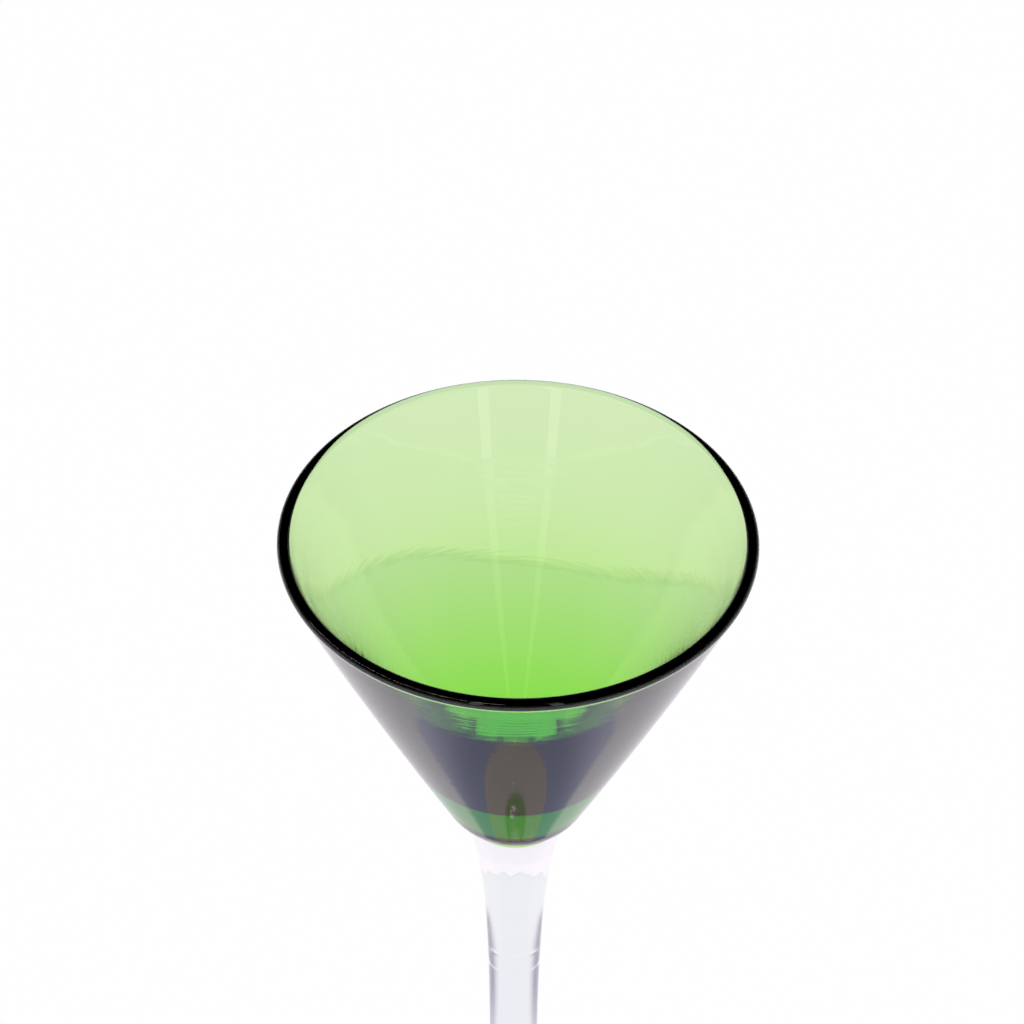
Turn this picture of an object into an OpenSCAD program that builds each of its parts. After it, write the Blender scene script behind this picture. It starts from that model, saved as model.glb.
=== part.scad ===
// Cordial glass with a deep cone of green glass on a drawn clear stem.
// Millimetres. The glass stands on z = 0 and its axis is the Z axis.

/* [Glass] */
// Height from the table to the top of the lip
glass_h = 150; // [120:1:200]

/* [Bowl] */
// Widest diameter, over the outside of the lip
rim_d = 64; // [52:0.5:80]
// Depth from the top of the lip to the lowest point of the green glass
bowl_h = 54; // [46:0.5:60]
// Radius of the rounded underside of the bowl
base_r = 11.4; // [9.5:0.1:15]
// Thickness of the wall just under the lip
wall_t = 1.75; // [1.2:0.05:1.8]
// Thickness of the rounded lip
lip_t = 1.8; // [1.8:0.05:2.6]

/* [Cavity] */
// Depth from the top of the lip to the floor of the cavity
cavity_h = 40.5; // [35:0.5:44]
// Depth at which the upper wall starts to swell towards the base
swell_h = 9.5; // [6:0.5:16]
// Thickness of the wall at that depth
swell_wall_t = 2.05; // [1.8:0.05:2.6]
// Radius of the rounded floor of the cavity
floor_r = 10; // [7:0.5:12]

/* [Stem] */
// Diameter where the clear glass meets the bowl
stem_top_d = 14.2; // [11:0.2:17]
// Diameter at the waist of the stem
stem_d = 6.6; // [5:0.1:9]
// Distance over which the upper flare dies away
top_flare_h = 12.5; // [8:0.5:16]
// Distance over which the lower flare dies away
foot_flare_h = 4.5; // [3:0.25:7]
// Drop from the bowl's lowest point to the fused seam that runs round the stem
seam_drop = 27.5; // [14:0.5:40]

/* [Foot] */
// Diameter of the foot
foot_d = 40; // [36:0.5:60]
// Thickness of the rounded edge
foot_edge_t = 2.4; // [1.8:0.1:3.2]
// Height of the flat seat that carries the stem
foot_seat_z = 5; // [4:0.25:7]
// Diameter of that seat
foot_seat_d = 15; // [12:0.5:20]
// Width of the flat ring that the glass rests on
rest_ring_w = 3; // [2:0.25:5]
// Rise of the hollow under the foot
hollow_h = 1.4; // [0.8:0.1:2]

/* [Hidden] */

$fn = 128;
stem_steps = 20;
cut_over = 1;

// The lip is a bead that the inner side of the wall touches.
lip_r = lip_t / 2;
lip_mid_r = rim_d / 2 - lip_r;
lip_mid_z = glass_h - lip_r;

// The side is a straight line. It keeps wall_t from the bead's inner side and touches the base.
base_mid_z = glass_h - bowl_h + base_r;
side_run = lip_mid_z - base_mid_z;
side_gap = base_r + lip_r - wall_t;
side_angle = acos(side_gap / norm([lip_mid_r, side_run])) - atan2(side_run, lip_mid_r);

// The inner side leans in a little more, because the upper wall grows from wall_t to swell_wall_t.
inner_angle = side_angle + atan2((swell_wall_t - wall_t) * cos(side_angle), swell_h);

// Where the inner side leaves the bead, where the outer side enters it, and where it meets the base
inner_top = [lip_mid_r - lip_r * cos(inner_angle), lip_mid_z + lip_r * sin(inner_angle)];
outer_top = [lip_mid_r, lip_mid_z] - (lip_r - wall_t) * [cos(side_angle), -sin(side_angle)];
base_edge = [base_r * cos(side_angle), base_mid_z - base_r * sin(side_angle)];

// The cavity is a cone, then a long arc, then a rounded floor, each tangent to the next.
swell_z = glass_h - swell_h;
swell_edge_r = inner_top[0] - (inner_top[1] - swell_z) * tan(inner_angle);
floor_mid_z = glass_h - cavity_h + floor_r;
floor_drop = swell_z - floor_mid_z;
swell_r = (swell_edge_r * swell_edge_r + floor_drop * floor_drop - floor_r * floor_r)
    / (2 * (swell_edge_r * cos(inner_angle) - floor_drop * sin(inner_angle) - floor_r));
swell_mid = [swell_edge_r - swell_r * cos(inner_angle), swell_z + swell_r * sin(inner_angle)];
floor_angle = atan2(swell_mid[1] - floor_mid_z, -swell_mid[0]);
floor_edge_z = floor_mid_z - floor_r * sin(floor_angle);

// The clear glass meets the rounded base in a ring.
stem_top_r = stem_top_d / 2;
stem_top_z = base_mid_z - sqrt(base_r * base_r - stem_top_r * stem_top_r);
waist_r = stem_d / 2;
seam_z = glass_h - bowl_h - seam_drop;
foot_seat_r = foot_seat_d / 2;

// The foot's edge, its resting ring and the hollow between
foot_edge_r = foot_edge_t / 2;
foot_edge_mid_r = foot_d / 2 - foot_edge_r;
hollow_r = foot_edge_mid_r - rest_ring_w;
hollow_curve_r = (hollow_r * hollow_r + hollow_h * hollow_h) / (2 * hollow_h);

// Radius of the drawn stem at a height: a waist with a flare that dies away from each end
function stem_r(z) = waist_r
    + (stem_top_r - waist_r) * exp((z - stem_top_z) / top_flare_h)
    + (foot_seat_r - waist_r) * exp((foot_seat_z - z) / foot_flare_h);

// Outline of the stem between two heights, from the axis out and back
function stem_outline(low, high) = concat(
    [[0, low]],
    [for (i = [0:stem_steps]) let (z = low + (high - low) * i / stem_steps) [stem_r(z), z]],
    [[0, high]]);

// Half of a disc, on the outer side of the axis
module half_disc(r) {
    intersection() {
        circle(r = r);
        translate([0, -r]) square([r, 2 * r]);
    }
}

// Half of the bowl's section, filled in: the side, which runs onto the rounded base
module bowl_body_section() {
    polygon([[0, base_edge[1]], base_edge, outer_top, inner_top, [0, inner_top[1]]]);
    translate([0, base_mid_z]) half_disc(base_r);
}

// Half of the cavity's section, open at the lip. Each curve lies inside the one above it.
module cavity_section() {
    polygon([[0, swell_z], [swell_edge_r, swell_z], inner_top, [inner_top[0], glass_h + cut_over],
        [0, glass_h + cut_over]]);
    intersection() {
        translate(swell_mid) circle(r = swell_r, $fn = 2 * $fn);
        translate([0, floor_edge_z]) square([rim_d, glass_h - floor_edge_z]);
    }
    translate([0, floor_mid_z]) half_disc(floor_r);
}

// Green bowl: a wall with a fire-polished lip above, a solid base below
module bowl() {
    color([0.45, 0.85, 0.3, 0.6]) rotate_extrude() {
        difference() {
            bowl_body_section();
            cavity_section();
        }
        translate([lip_mid_r, lip_mid_z]) circle(r = lip_r);
    }
}

// Upper stem: a clear collar cupped round the bowl's base and drawn down to the seam
module stem_top() {
    color([0.9, 0.88, 0.95, 0.5]) rotate_extrude() difference() {
        polygon(stem_outline(seam_z, stem_top_z));
        translate([0, base_mid_z]) circle(r = base_r);
    }
}

// Lower stem: a clear rod from the seam down to the foot's seat
module stem() {
    color([0.88, 0.86, 0.94, 0.5]) rotate_extrude() polygon(stem_outline(foot_seat_z, seam_z));
}

// Foot: a clear disc that rises to its seat, with a rounded edge and a hollow underside
module foot() {
    color([0.92, 0.9, 0.96, 0.5]) rotate_extrude() difference() {
        union() {
            polygon([[0, 0], [foot_edge_mid_r, 0], [foot_edge_mid_r, foot_edge_t],
                [foot_seat_r, foot_seat_z], [0, foot_seat_z]]);
            translate([foot_edge_mid_r, foot_edge_r]) circle(r = foot_edge_r);
        }
        intersection() {
            translate([0, hollow_h - hollow_curve_r]) circle(r = hollow_curve_r, $fn = 4 * $fn);
            translate([0, -cut_over]) square([foot_d / 2, hollow_h + cut_over]);
        }
    }
}

bowl();
stem_top();
stem();
foot();
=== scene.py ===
# %% [markdown]
# A cordial glass: a deep cone of green glass on a clear stem and foot.
# The real one is made hot. The bowl is blown, a clear rod is stuck to its rounded base and drawn
# out, a second gather makes the foot, and the lip is melted round in the flame.
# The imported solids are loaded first, because every piece below takes its place from them.
# %% load the solids
import math

import bmesh
import bpy
from mathutils import Matrix, Vector


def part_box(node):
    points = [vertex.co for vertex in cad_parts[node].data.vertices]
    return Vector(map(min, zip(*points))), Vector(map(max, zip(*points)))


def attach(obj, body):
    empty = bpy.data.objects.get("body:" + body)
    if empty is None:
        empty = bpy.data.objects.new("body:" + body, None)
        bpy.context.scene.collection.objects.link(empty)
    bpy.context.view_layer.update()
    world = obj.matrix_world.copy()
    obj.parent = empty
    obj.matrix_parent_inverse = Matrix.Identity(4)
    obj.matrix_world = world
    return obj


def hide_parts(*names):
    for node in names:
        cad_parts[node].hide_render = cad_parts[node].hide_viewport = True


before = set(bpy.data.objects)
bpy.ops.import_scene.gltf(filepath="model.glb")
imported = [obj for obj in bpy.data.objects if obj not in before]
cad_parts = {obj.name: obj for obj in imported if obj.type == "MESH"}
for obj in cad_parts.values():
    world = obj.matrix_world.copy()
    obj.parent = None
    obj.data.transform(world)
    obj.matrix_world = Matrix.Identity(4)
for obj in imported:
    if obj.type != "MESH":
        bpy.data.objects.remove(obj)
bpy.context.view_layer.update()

# %% [markdown]
# Sizes. Where a piece begins and ends is read from the solids, so nothing has to be fitted.
# A box can't tell how thick a wall is or how round a base is. Those few sizes come later, each in
# the cell that needs it first, in millimetres, as a glassmaker would give them.
# %% where the pieces begin and end
MM = 0.001

glass_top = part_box("bowl")[1].z
rim_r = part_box("bowl")[1].x
base_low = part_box("bowl")[0].z
join_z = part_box("stem_top")[1].z
join_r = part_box("stem_top")[1].x
seam_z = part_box("stem_top")[0].z
seat_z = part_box("stem")[0].z
seat_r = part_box("stem")[1].x
foot_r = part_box("foot")[1].x
print("lip radius", round(rim_r / MM, 2), "mm, join at", round(join_z / MM, 2), "mm")

# %% [markdown]
# The camera comes early.
# The glass is seen from above at 42.7 degrees. A long lens far away keeps the lip and the base at
# nearly the same scale. The lens is worked out from how wide the lip is in the picture, and the
# camera looks at a point that brings the middle of the lip to its place in the frame.
# %% camera
frame_px = 1024
lip_mid_px = Vector((518.2, 535.8))
lip_half_px = 241.5
camera_distance = 0.75
camera_rise = math.radians(42.7)
camera_tilt = math.radians(0.495)

lens_px = lip_half_px * camera_distance / rim_r
px_size = camera_distance / lens_px
lip_mid = Vector((0, 0, glass_top))
away = Vector((0, -math.cos(camera_rise), math.sin(camera_rise)))
right = Vector((1, 0, 0))
up = away.cross(right)

offset = Matrix.Rotation(-camera_tilt, 2) @ (Vector((frame_px / 2, frame_px / 2)) - lip_mid_px)
aim = lip_mid + (right * offset.x - up * offset.y) * px_size
camera_at = lip_mid + away * camera_distance

camera_data = bpy.data.cameras.new("camera")
camera_data.sensor_width = 36
camera_data.lens = camera_data.sensor_width * lens_px / frame_px
camera = bpy.data.objects.new("camera", camera_data)
look = (camera_at - aim).to_track_quat("Z", "Y").to_matrix().to_4x4()
camera.matrix_world = Matrix.Translation(camera_at) @ look @ Matrix.Rotation(camera_tilt, 4, "Z")
bpy.context.scene.collection.objects.link(camera)
bpy.context.scene.camera = camera
print("lens", round(camera_data.lens, 1), "mm")

# %% [markdown]
# Everything on a blown and drawn glass is round, so each piece is an outline turned about the axis.
# The outline is a list of points, radius and height. Straight lines and arcs are all it needs.
# %% outline helpers
same_spot = 1e-7


def line(start, end, steps):
    """Points from start to end, both included."""
    return [Vector(start).lerp(Vector(end), i / steps) for i in range(steps + 1)]


def arc(mid, radius, first, last, steps):
    """Points on a circle between two angles in radians, measured from the radial direction."""
    angles = [first + (last - first) * i / steps for i in range(steps + 1)]
    return [Vector((mid[0] + radius * math.cos(a), mid[1] + radius * math.sin(a))) for a in angles]


def chain(*runs):
    """Runs of points as one outline, without the doubled points where two runs meet."""
    points = []
    for run in runs:
        points += [p for p in run if not points or (p - points[-1]).length > same_spot]
    return points


# %% [markdown]
# Blender's Screw and Spin tools can turn an outline too. Here the rings are made one by one, so that
# every face looks out for certain. Clear glass needs that to bend light the right way.
# Many short steps keep the shading free of facets, which bent light would show.
# %% turning helper
turn_steps = 240


def turn(name, outline):
    """A mesh made by turning an outline about the axis. An end on the axis closes to one point.
    The outline climbs the outside and comes down the inside, and then all faces look out."""
    bm = bmesh.new()
    rings = []
    for radius, height in outline:
        if radius < same_spot:
            rings.append([bm.verts.new((0, 0, height))])
        else:
            angles = [2 * math.pi * i / turn_steps for i in range(turn_steps)]
            rings.append([bm.verts.new((radius * math.cos(a), radius * math.sin(a), height))
                          for a in angles])
    for low, high in zip(rings, rings[1:]):
        for i in range(turn_steps):
            j = (i + 1) % turn_steps
            corners = [low[i % len(low)], low[j % len(low)], high[j % len(high)], high[i % len(high)]]
            bm.faces.new(list(dict.fromkeys(corners)))
    mesh = bpy.data.meshes.new(name)
    bm.to_mesh(mesh)
    bm.free()
    mesh.shade_smooth()
    piece = bpy.data.objects.new(name, mesh)
    bpy.context.scene.collection.objects.link(piece)
    print(name, "turned from", len(outline), "points into", len(mesh.polygons), "faces")
    return piece


# %% [markdown]
# The bowl's side is one straight line that touches two circles, the small bead of the lip and the
# large ball of the base. It could be measured in the picture, but then it would only nearly meet
# them. Worked out from the circles, it touches both.
# %% bowl side
base_r = 11.4 * MM
wall_t = 1.75 * MM
lip_r = 0.9 * MM

lip_mid_r = rim_r - lip_r
lip_mid_z = glass_top - lip_r
ball_z = base_low + base_r
side_run = lip_mid_z - ball_z
side_gap = base_r + lip_r - wall_t
side_angle = math.acos(side_gap / math.hypot(lip_mid_r, side_run)) - math.atan2(side_run, lip_mid_r)

side_out = Vector((math.cos(side_angle), -math.sin(side_angle)))
bead_mid = Vector((lip_mid_r, lip_mid_z))
ball_edge = Vector((0, ball_z)) + base_r * side_out
print("side leans", round(math.degrees(side_angle), 2), "degrees")

# %% [markdown]
# Inside, the wall is even at first and then thickens: a cone, a long arc and a rounded floor, each
# tangent to the next. How thick the glass is decides how green it looks, so the arc matters more
# to the colour than to the shape.
# %% cavity
cavity_depth = 40.5 * MM
swell_depth = 9.5 * MM
swell_wall_t = 2.05 * MM
floor_r = 10.0 * MM

inner_angle = side_angle + math.atan((swell_wall_t - wall_t) * math.cos(side_angle) / swell_depth)
inner_out = Vector((math.cos(inner_angle), -math.sin(inner_angle)))
inner_top = bead_mid - lip_r * inner_out

swell_z = glass_top - swell_depth
swell_edge_r = inner_top.x - (inner_top.y - swell_z) * math.tan(inner_angle)
floor_mid_z = glass_top - cavity_depth + floor_r
drop = swell_z - floor_mid_z
swell_r = ((swell_edge_r ** 2 + drop ** 2 - floor_r ** 2)
           / (2 * (swell_edge_r * math.cos(inner_angle) - drop * math.sin(inner_angle) - floor_r)))
swell_mid = Vector((swell_edge_r, swell_z)) - swell_r * inner_out
floor_angle = -math.atan2(swell_mid.y - floor_mid_z, -swell_mid.x)
print("arc of", round(swell_r / MM), "mm radius, floor at", round((floor_mid_z - floor_r) / MM, 1), "mm")

# %% [markdown]
# The bowl is one outline: up the outside, round the bead and down the cavity.
# A blown side is never quite straight, so every point between base and lip moves out by up to
# side_bulge. Inside and outside move alike, so the wall keeps its thickness. Close to the axis the
# move fades out, so that the floor of the cavity stays round.
# %% bowl
side_bulge = 0.3 * MM
bulge_full_r = 4 * MM

join_angle = -math.acos(join_r / base_r)
bead_out = -math.acos((wall_t - lip_r) / lip_r) - side_angle
bead_in = math.pi - inner_angle
bead = arc(bead_mid, lip_r, bead_out, bead_in, 40)
bowl_outline = chain(
    arc((0, ball_z), base_r, -math.pi / 2, join_angle, 24),
    arc((0, ball_z), base_r, join_angle, -side_angle, 30),
    line(ball_edge, bead[0], 150),
    bead,
    line(inner_top, (swell_edge_r, swell_z), 50),
    arc(swell_mid, swell_r, -inner_angle, floor_angle, 60),
    arc((0, floor_mid_z), floor_r, floor_angle, -math.pi / 2, 30),
)
for point in bowl_outline:
    along = (point.y - ball_edge.y) / (bead[0].y - ball_edge.y)
    if 0 < along < 1 and point.x > 0:
        point.x += 4 * side_bulge * along * (1 - along) * min(1, point.x / bulge_full_r)
bowl_outline[0].x = 0
bowl_outline[-1].x = 0
bowl = turn("green_bowl", bowl_outline)

# %% [markdown]
# The stem is drawn from hot glass, so it has no straight part: it thins out from the bowl and
# swells again into the foot. Two exponential curves added to a waist give that shape.
# It is made in two pieces, as on the real glass, where a faint ring shows that a second gather
# was joined on. A shallow groove marks that ring.
# %% stem
waist_r = 3.3 * MM
top_flare = 12.5 * MM
foot_flare = 4.5 * MM
seam_groove = 0.05 * MM
seam_half = 0.25 * MM


def stem_radius(z):
    """Radius of the drawn stem at a height."""
    from_bowl = (join_r - waist_r) * math.exp((z - join_z) / top_flare)
    from_foot = (seat_r - waist_r) * math.exp((seat_z - z) / foot_flare)
    groove = seam_groove * math.exp(-((z - seam_z) / seam_half) ** 2)
    return waist_r + from_bowl + from_foot - groove


def stem_outline(low, high, steps):
    """The drawn side of the stem between two heights, upwards."""
    heights = [low + (high - low) * i / steps for i in range(steps + 1)]
    return [Vector((stem_radius(z), z)) for z in heights]


stem_top = turn("clear_stem_top", stem_outline(seam_z, join_z, 90))
stem = turn("clear_stem", stem_outline(seat_z, seam_z, 160))
print("stem radius", round(stem_radius((seat_z + seam_z) / 2) / MM, 2), "mm, halfway to the seam")

# %% [markdown]
# The foot is a shallow cone with a rounded edge. Underneath it is hollow, as on the real thing, so
# that it stands on a ring near its edge and doesn't rock. The clear pieces are open where they meet:
# a face there would lie inside the glass and bend light that should pass straight on.
# %% foot
foot_edge_r = 1.2 * MM
rest_ring_w = 3.0 * MM
hollow_rise = 1.4 * MM
seat_ledge = 0.25 * MM

edge_mid = Vector((foot_r - foot_edge_r, foot_edge_r))
hollow_r = edge_mid.x - rest_ring_w
hollow_curve = (hollow_r ** 2 + hollow_rise ** 2) / (2 * hollow_rise)
hollow_reach = math.asin(hollow_r / hollow_curve)
foot_outline = chain(
    arc((0, hollow_rise - hollow_curve), hollow_curve, math.pi / 2, math.pi / 2 - hollow_reach, 30),
    line((hollow_r, 0), (edge_mid.x, 0), 4),
    arc(edge_mid, foot_edge_r, -math.pi / 2, math.pi / 2, 24),
    line((edge_mid.x, 2 * foot_edge_r), (seat_r + seat_ledge, seat_z), 40),
    [Vector((stem_radius(seat_z), seat_z))],
)
foot_outline[0].x = 0
foot = turn("clear_foot", foot_outline)
foot_rise = math.atan2(seat_z - 2 * foot_edge_r, edge_mid.x - seat_r)
print("foot rises at", round(math.degrees(foot_rise), 1), "degrees")

# %% [markdown]
# Materials are graphs of nodes, but sums read better as sums. This class wraps one output socket,
# and its operators add Math nodes, so `1 - mask` in the code is a node in the material.
# %% node helper
class Wire:
    """One output in a node tree. Operators on it add Math nodes."""

    def __init__(self, tree, socket=None):
        self.tree = tree
        self.socket = socket

    def node(self, kind, settings=None, sockets=None, out=0):
        """Adds a node: its settings first, then the values or links of its sockets."""
        made = self.tree.nodes.new(kind)
        for key, value in (settings or {}).items():
            setattr(made, key, value)
        for key, value in (sockets or {}).items():
            if isinstance(value, Wire):
                self.tree.links.new(value.socket, made.inputs[key])
            else:
                made.inputs[key].default_value = value
        return Wire(self.tree, made.outputs[out])

    def maths(self, operation, *values):
        """A Math node on numbers or wires."""
        return self.node("ShaderNodeMath", {"operation": operation}, dict(enumerate(values)))

    def __add__(self, other):
        return self.maths("ADD", self, other)

    def __radd__(self, other):
        return self.maths("ADD", other, self)

    def __sub__(self, other):
        return self.maths("SUBTRACT", self, other)

    def __rsub__(self, other):
        return self.maths("SUBTRACT", other, self)

    def __mul__(self, other):
        return self.maths("MULTIPLY", self, other)

    def __rmul__(self, other):
        return self.maths("MULTIPLY", other, self)

    def __gt__(self, other):
        return self.maths("GREATER_THAN", self, other)

    def rise(self, low, high):
        """0 below low and 1 above high, with a smooth step between. It falls if low is the larger."""
        return self.node("ShaderNodeMapRange", {"interpolation_type": "SMOOTHSTEP"},
                         {"Value": self, "From Min": low, "From Max": high})

    def mix(self, first, second, blend="MIX"):
        """A colour between two, this value being the share of the second."""
        return self.node("ShaderNodeMix", {"data_type": "RGBA", "blend_type": blend},
                         {0: self, 6: first, 7: second}, out=2)


# %% [markdown]
# A material has a surface and may have a volume, which is what light meets on its way through.
# Two small functions open and close a graph, so that each material below is only its own nodes.
# %% material helpers
def new_material(name):
    """An empty material, and a wire to start its graph."""
    material = bpy.data.materials.new(name)
    material.use_nodes = True
    material.node_tree.nodes.clear()
    return material, Wire(material.node_tree)


def finish_material(start, surface, volume=None):
    """Adds the output node and links the last shaders to it."""
    output = start.tree.nodes.new("ShaderNodeOutputMaterial")
    start.tree.links.new(surface.socket, output.inputs["Surface"])
    if volume:
        start.tree.links.new(volume.socket, output.inputs["Volume"])
    print(len(start.tree.nodes), "nodes in this graph")


# %% [markdown]
# Green glass. The colour isn't on the surface: it is in the glass, and a thicker wall is deeper in
# colour. So the surface is clear and the inside absorbs light, red and blue much more than green.
# Absorption is given per metre, so even large numbers take little in a wall of two millimetres.
# %% green inside the glass
red_loss = 142.0
green_loss = 6.0
blue_loss = 306.0

green_glass, start = new_material("green_glass")
inside = start.node("ShaderNodeVolumeAbsorption", sockets={
    "Color": (1 - red_loss / blue_loss, 1 - green_loss / blue_loss, 0, 1),
    "Density": blue_loss,
})
passed = [round(math.exp(-loss * wall_t), 2) for loss in (red_loss, green_loss, blue_loss)]
print("one wall passes", passed, "of red, green and blue")

# %% [markdown]
# Hand-made glass has fine ripples across and faint streaks down. They are far too small to model,
# so a bump bends the surface a little. One noise is squeezed in height for the ripples, and one is
# read by direction from the axis for the streaks. Both die away before the melted lip.
# %% ripples and streaks
ripple_squeeze = (90, 90, 1300)
ripple_height = 0.008 * MM
streak_height = 0.02 * MM
smooth_lip = 3 * MM
rippled_wall = 6 * MM

place = start.node("ShaderNodeNewGeometry", out="Position")
height = start.node("ShaderNodeSeparateXYZ", sockets={"Vector": place}, out="Z")
across = start.node("ShaderNodeVectorMath", {"operation": "MULTIPLY"}, {0: place, 1: ripple_squeeze})
ripple = start.node("ShaderNodeTexNoise", sockets={"Vector": across, "Scale": 1.0, "Detail": 2.0})
down = start.node("ShaderNodeVectorMath", {"operation": "MULTIPLY"}, {0: place, 1: (1, 1, 0)})
round_way = start.node("ShaderNodeVectorMath", {"operation": "NORMALIZE"}, {0: down})
streak = start.node("ShaderNodeTexNoise", sockets={"Vector": round_way, "Scale": 4.0, "Detail": 1.0})
below_lip = height.rise(glass_top - smooth_lip, glass_top - rippled_wall)
wave = below_lip * (ripple * ripple_height + streak * streak_height)
hand_made = start.node("ShaderNodeBump", sockets={"Height": wave, "Distance": 1.0, "Strength": 1.0})
print("ripples up to", round(ripple_height / MM, 3), "mm, streaks", round(streak_height / MM, 3), "mm")

# %% [markdown]
# The surface of the green glass is clear and smooth, and two things are special about it.
# Where the base is fused to the clear stem there is no surface at all, so Alpha is 0 there.
# Light that is reflected inside the wall runs round it like light in a fibre. In the photograph
# hardly any of it shows: the lip and much of the base are dark. So a ray that meets the surface from
# inside after a reflection counts as spent and gives nothing more, and Alpha stops it at the fused
# base too. This is a shortcut to match what is seen. It isn't how glass really loses light.
# %% green glass
glass_ior = 1.56
surface_passes = 0.93

from_inside = start.node("ShaderNodeNewGeometry", out="Backfacing")
bounced = start.node("ShaderNodeLightPath", out="Is Reflection Ray")
spent = from_inside * bounced
let_out = surface_passes * (1 - spent)
let_out = start.node("ShaderNodeCombineColor", sockets={"Red": let_out, "Green": let_out, "Blue": let_out})
skin = start.node("ShaderNodeBsdfPrincipled", sockets={
    "Base Color": let_out,
    "Roughness": 0.0,
    "IOR": glass_ior,
    "Transmission Weight": 1.0,
    "Alpha": start.maths("MAXIMUM", height > join_z, spent),
    "Normal": hand_made,
})
finish_material(start, skin, inside)
bowl.data.materials.append(green_glass)

# %% [markdown]
# Clear glass. It isn't quite colourless: thick clear glass has a slight violet cast.
# %% clear glass
clear_ior = 1.5

clear_glass, start = new_material("clear_glass")
skin = start.node("ShaderNodeBsdfPrincipled", sockets={
    "Base Color": (0.99, 0.96, 1.0, 1),
    "Roughness": 0.0,
    "IOR": clear_ior,
    "Transmission Weight": 1.0,
})
finish_material(start, skin)
for piece in (stem_top, stem, foot):
    piece.data.materials.append(clear_glass)

# %% [markdown]
# The stage is a wide white table. It is one face, because its colours come from its material.
# It lies just under the foot: where two faces share a height, either may show, in patches.
# %% table
table_half = 1.5
table_drop = 0.1 * MM

bm = bmesh.new()
bmesh.ops.create_grid(bm, x_segments=1, y_segments=1, size=table_half)
table_mesh = bpy.data.meshes.new("table")
bm.to_mesh(table_mesh)
bm.free()
table = bpy.data.objects.new("table", table_mesh)
table.location.z = -table_drop
bpy.context.scene.collection.objects.link(table)
print("table", 2 * table_half, "m wide,", round(table_drop / MM, 2), "mm under the foot")

# %% [markdown]
# Glass has little colour of its own: most of what it shows is its surroundings. So the table is
# painted by place, but only for rays that have met glass. To the camera it stays white.
# The graph starts with two questions: where on the table, and what kind of ray asks? Light Path
# answers the second. Its Glossy Depth tells how often a ray was mirrored on its way.
# %% places and rays
white_table, start = new_material("white_table")
spot = start.node("ShaderNodeNewGeometry", out="Position")
x = start.node("ShaderNodeSeparateXYZ", sockets={"Vector": spot}, out="X")
y = start.node("ShaderNodeSeparateXYZ", sockets={"Vector": spot}, out="Y")
side = start.maths("ABSOLUTE", x)
reach = start.node("ShaderNodeVectorMath", {"operation": "LENGTH"}, {0: spot}, out="Value")

straight = start.node("ShaderNodeLightPath", out="Is Camera Ray")
glossy = start.node("ShaderNodeLightPath", out="Is Glossy Ray")
bent = start.node("ShaderNodeLightPath", out="Is Transmission Ray")
mirrored = start.node("ShaderNodeLightPath", out="Glossy Depth") > 0.5
print(len(start.tree.nodes), "nodes tell places and rays apart")

# %% [markdown]
# Round the glass the table carries a painted shade, the shadow of the glass: a little less than white, up
# to a wavy edge with a faint darker line, which shows through the wall. Noise added to the distance makes
# the edge wavy.
# Here and below, a pair of numbers gives where a soft mask is 0 and where it is 1, in metres.
# %% shade round the glass
white = (1.0, 0.985, 1.0, 1)
pale = (0.98, 0.94, 1.0, 1)
shade_tint = (0.85, 0.90, 0.89, 1)
line_tint = (0.90, 0.93, 0.88, 1)
shade_edge = (0.1375, 0.1355)
line_outside = (0.1395, 0.138)
line_inside = (0.1345, 0.136)
edge_wander = 0.03

drift = start.node("ShaderNodeTexNoise", sockets={"Vector": spot, "Scale": 22.0, "Detail": 1.0})
wavy = reach + (drift - 0.5) * edge_wander
seen = wavy.rise(*shade_edge).mix(white, mirrored.mix(shade_tint, pale))
edge_line = wavy.rise(*line_outside) * wavy.rise(*line_inside)
seen = edge_line.mix(seen, line_tint, "MULTIPLY")
print("shade up to", shade_edge[0], "m from the axis")

# %% [markdown]
# The round stem bends what lies to its left and right towards its edges. Two dim places beside the
# glass darken them there. Mirrored rays don't see them: those have areas of their own below.
# %% dim places beside the glass
side_tint = (0.26, 0.25, 0.32, 1)
beside_side = (0.030, 0.058)
beside_depth = (0.070, 0.034)
beside_reach = (0.104, 0.090)

beside = side.rise(*beside_side) * y.rise(*beside_depth) * reach.rise(*beside_reach) * (1 - mirrored)
seen = beside.mix(seen, side_tint, "MULTIPLY")
print("dim places from", beside_side[0], "to", beside_reach[0], "m from the axis")

# %% [markdown]
# The front of the bowl is a curved mirror. It shows a dusky area in front of the glass, which is painted
# shade, and the foot with a painted shadow under it, tinted green by the bowl. Both are painted for
# mirrored rays alone: painted for every ray, they made the bowl far too dark from the right. They were
# placed for the view of the photograph.
# %% what the bowl mirrors
dusk_edge = (0.80, 0.78, 1.0, 1)
dusk_mid = (0.45, 0.46, 0.65, 1)
foot_shadow_edge = (0.68, 0.62, 0.56, 1)
foot_shadow_mid = (0.30, 0.44, 0.16, 1)
front_depth = (0.023, 0.017)
front_side = (0.053, 0.049)
front_reach = (0.11, 0.09)
dusk_fade = (0.055, 0.025)
foot_shadow_fade = (0.008, 0.003)
foot_shadow_soft = 0.4 * MM

front = y.rise(*front_depth) * side.rise(*front_side) * reach.rise(*front_reach) * mirrored
dusk = reach.rise(*dusk_fade).mix(dusk_edge, dusk_mid)
seen = front.mix(seen, dusk)
# Painted shadow under the foot, tinted green by the bowl, seen by mirrored rays only.
under = reach.rise(foot_r + foot_shadow_soft, foot_r - foot_shadow_soft) * mirrored
seen = under.mix(seen, reach.rise(*foot_shadow_fade).mix(foot_shadow_edge, foot_shadow_mid))
print("dusk", 2 * front_side[0], "m wide, foot", round(2 * foot_r, 3), "m wide")

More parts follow.
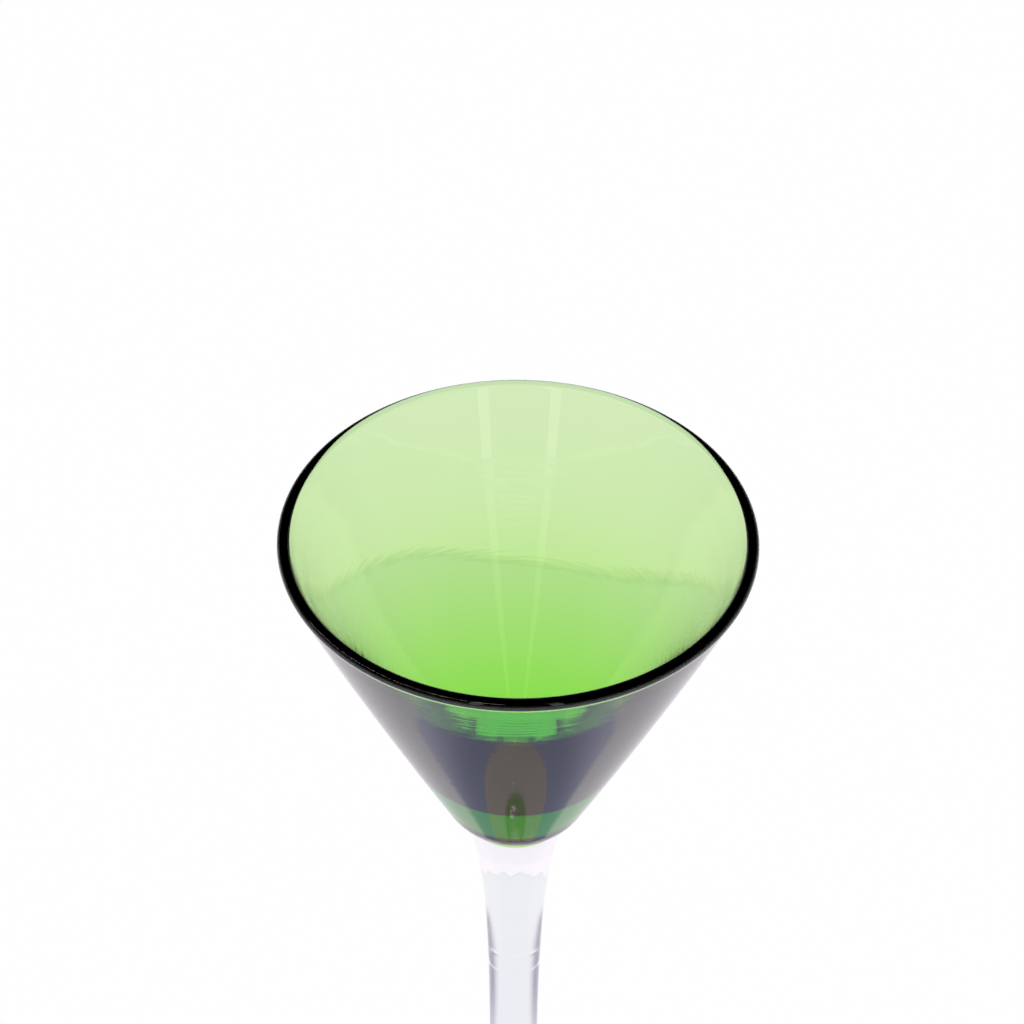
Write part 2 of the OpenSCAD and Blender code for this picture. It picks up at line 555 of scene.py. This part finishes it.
# %% [markdown]
# Far from the glass the table turns dim, as a room is beyond a lit table.
# The camera sees a table that glows white, with a small matte share that keeps the soft shadow of
# the glass. A ray that has met glass sees only the painted places.
# %% table material
far_tint = (0.25, 0.245, 0.26, 1)
far_fade = (0.62, 0.86)
camera_white = (1, 1, 1, 1)
camera_glow = 0.94
matte_tint = (0.8, 0.8, 0.8, 1)

seen = reach.rise(*far_fade).mix(seen, far_tint)
through = start.maths("MINIMUM", glossy + bent, 1) * (1 - straight)
glow = start.node("ShaderNodeEmission", sockets={"Color": through.mix(camera_white, seen), "Strength": 1.0})
matte = start.node("ShaderNodeBsdfDiffuse", sockets={"Color": matte_tint})
share = start.maths("MAXIMUM", straight * camera_glow, through)
both = start.node("ShaderNodeMixShader", sockets={0: share, 1: matte, 2: glow})
finish_material(start, both)
table_mesh.materials.append(white_table)

# %% [markdown]
# Behind everything is plain white for the camera. Clear glass looks dark at its edges only if it has
# something dark to bend towards them, so every other ray sees a dark room instead.
# A grey band above the horizon keeps a clear stem from turning black in a level view. A brighter
# band would turn the base of the bowl too green in the view of the photograph.
# Seen from low down, the wall of the bowl is still much too dark. That isn't solved here.
# %% world
backdrop_light = 0.26
backdrop_full = 0.12
backdrop_top = 0.30
room_tint = (0.97, 0.95, 1.0, 1)

world = bpy.data.worlds.new("studio")
bpy.context.scene.world = world
world.use_nodes = True
world.node_tree.nodes.clear()
start = Wire(world.node_tree)
straight = start.node("ShaderNodeLightPath", out="Is Camera Ray")
way = start.node("ShaderNodeTexCoord", out="Generated")
climb = start.node("ShaderNodeSeparateXYZ", sockets={"Vector": way}, out="Z")
backdrop = climb.rise(backdrop_top, backdrop_full) * backdrop_light
room = start.node("ShaderNodeBackground", sockets={"Color": room_tint, "Strength": backdrop})
blank = start.node("ShaderNodeBackground", sockets={"Color": camera_white})
air = start.node("ShaderNodeMixShader", sockets={0: straight, 1: room, 2: blank})
output = world.node_tree.nodes.new("ShaderNodeOutputWorld")
world.node_tree.links.new(air.socket, output.inputs["Surface"])
print("grey band up to", round(math.degrees(math.asin(backdrop_top)), 1), "degrees, light", backdrop_light)

# %% [markdown]
# One broad lamp gives the faint shadow on the table. A sun with a wide angle is the simplest soft
# light. It is hidden from reflections, so that it puts no bright disc on the glass.
# %% sun
sun_light = 4.2
sun_width = math.radians(25)
sun_turn = (math.radians(-28), math.radians(14), 0)

sun_data = bpy.data.lights.new("window", "SUN")
sun_data.energy = sun_light
sun_data.angle = sun_width
sun = bpy.data.objects.new("window", sun_data)
sun.rotation_euler = sun_turn
sun.visible_glossy = False
bpy.context.scene.collection.objects.link(sun)
print("sun", round(math.degrees(sun_width)), "degrees wide")

# %% [markdown]
# A long window at the left shows as the thin bright line along the lip. The lip is a thin ring, so
# it mirrors a long lamp as a line. The lamp is given by its two ends and turned to face the glass.
# %% side window
window_light = 1.6
window_length = 1.2
window_width = 0.10
lower_end = Vector((-0.93, 0.20, 0.44))
upper_end = Vector((0.0, -0.76, 0.74))
glass_mid = Vector((0, 0, 0.12))

side_window_data = bpy.data.lights.new("side_window", "AREA")
side_window_data.shape = "RECTANGLE"
side_window_data.size = window_length
side_window_data.size_y = window_width
side_window_data.energy = window_light * math.pi * window_length * window_width
side_window = bpy.data.objects.new("side_window", side_window_data)
middle = (lower_end + upper_end) / 2
facing = (middle - glass_mid).normalized()
length_way = (upper_end - lower_end).normalized()
width_way = facing.cross(length_way).normalized()
turned = Matrix((length_way, width_way, facing)).transposed()
side_window.matrix_world = Matrix.Translation(middle) @ turned.to_4x4()
side_window.visible_camera = False
side_window.visible_diffuse = False
bpy.context.scene.collection.objects.link(side_window)
print("side window", round((middle - glass_mid).length, 2), "m from the glass")

# %% [markdown]
# Two upright windows in front show as the pale streaks on the back wall. The bowl is a cone, so the
# streaks run together towards its base. Both kinds of window are area lamps that the camera and the
# table's matte share don't see, so they show in the glass and nowhere else.
# %% upright windows
strip_light = 0.9
strip_width = 0.10
strip_height = 1.0
strip_side = 0.30
strip_front = -1.0
strip_mid_z = 0.60

for along in (-1, 1):
    strip_data = bpy.data.lights.new("strip", "AREA")
    strip_data.shape = "RECTANGLE"
    strip_data.size = strip_width
    strip_data.size_y = strip_height
    strip_data.energy = strip_light * math.pi * strip_width * strip_height
    strip = bpy.data.objects.new("strip", strip_data)
    strip.location = (strip_side * along, strip_front, strip_mid_z)
    strip.rotation_euler = (glass_mid - strip.location).to_track_quat("-Z", "Y").to_euler()
    strip.visible_camera = False
    strip.visible_diffuse = False
    bpy.context.scene.collection.objects.link(strip)
    print(strip.name, "at", [round(value, 2) for value in strip.location])

# %% [markdown]
# Last, each made piece takes the place of its solid and rides on the glass, and the name of its material is
# printed.
# Glass needs enough reflections and clear passes, or its thick parts turn black too early.
# %% finish
for piece, node, slot in (
    (bowl, "bowl", "green_glass"),
    (stem_top, "stem_top", "clear_glass"),
    (stem, "stem", "clear_glass"),
    (foot, "foot", "clear_glass"),
):
    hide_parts(node)
    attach(piece, "root")
    print(piece.name, "replaces", node, "in", slot)

bpy.context.scene.view_settings.view_transform = "Standard"
bpy.context.scene.cycles.glossy_bounces = 6
bpy.context.scene.cycles.transparent_max_bounces = 16
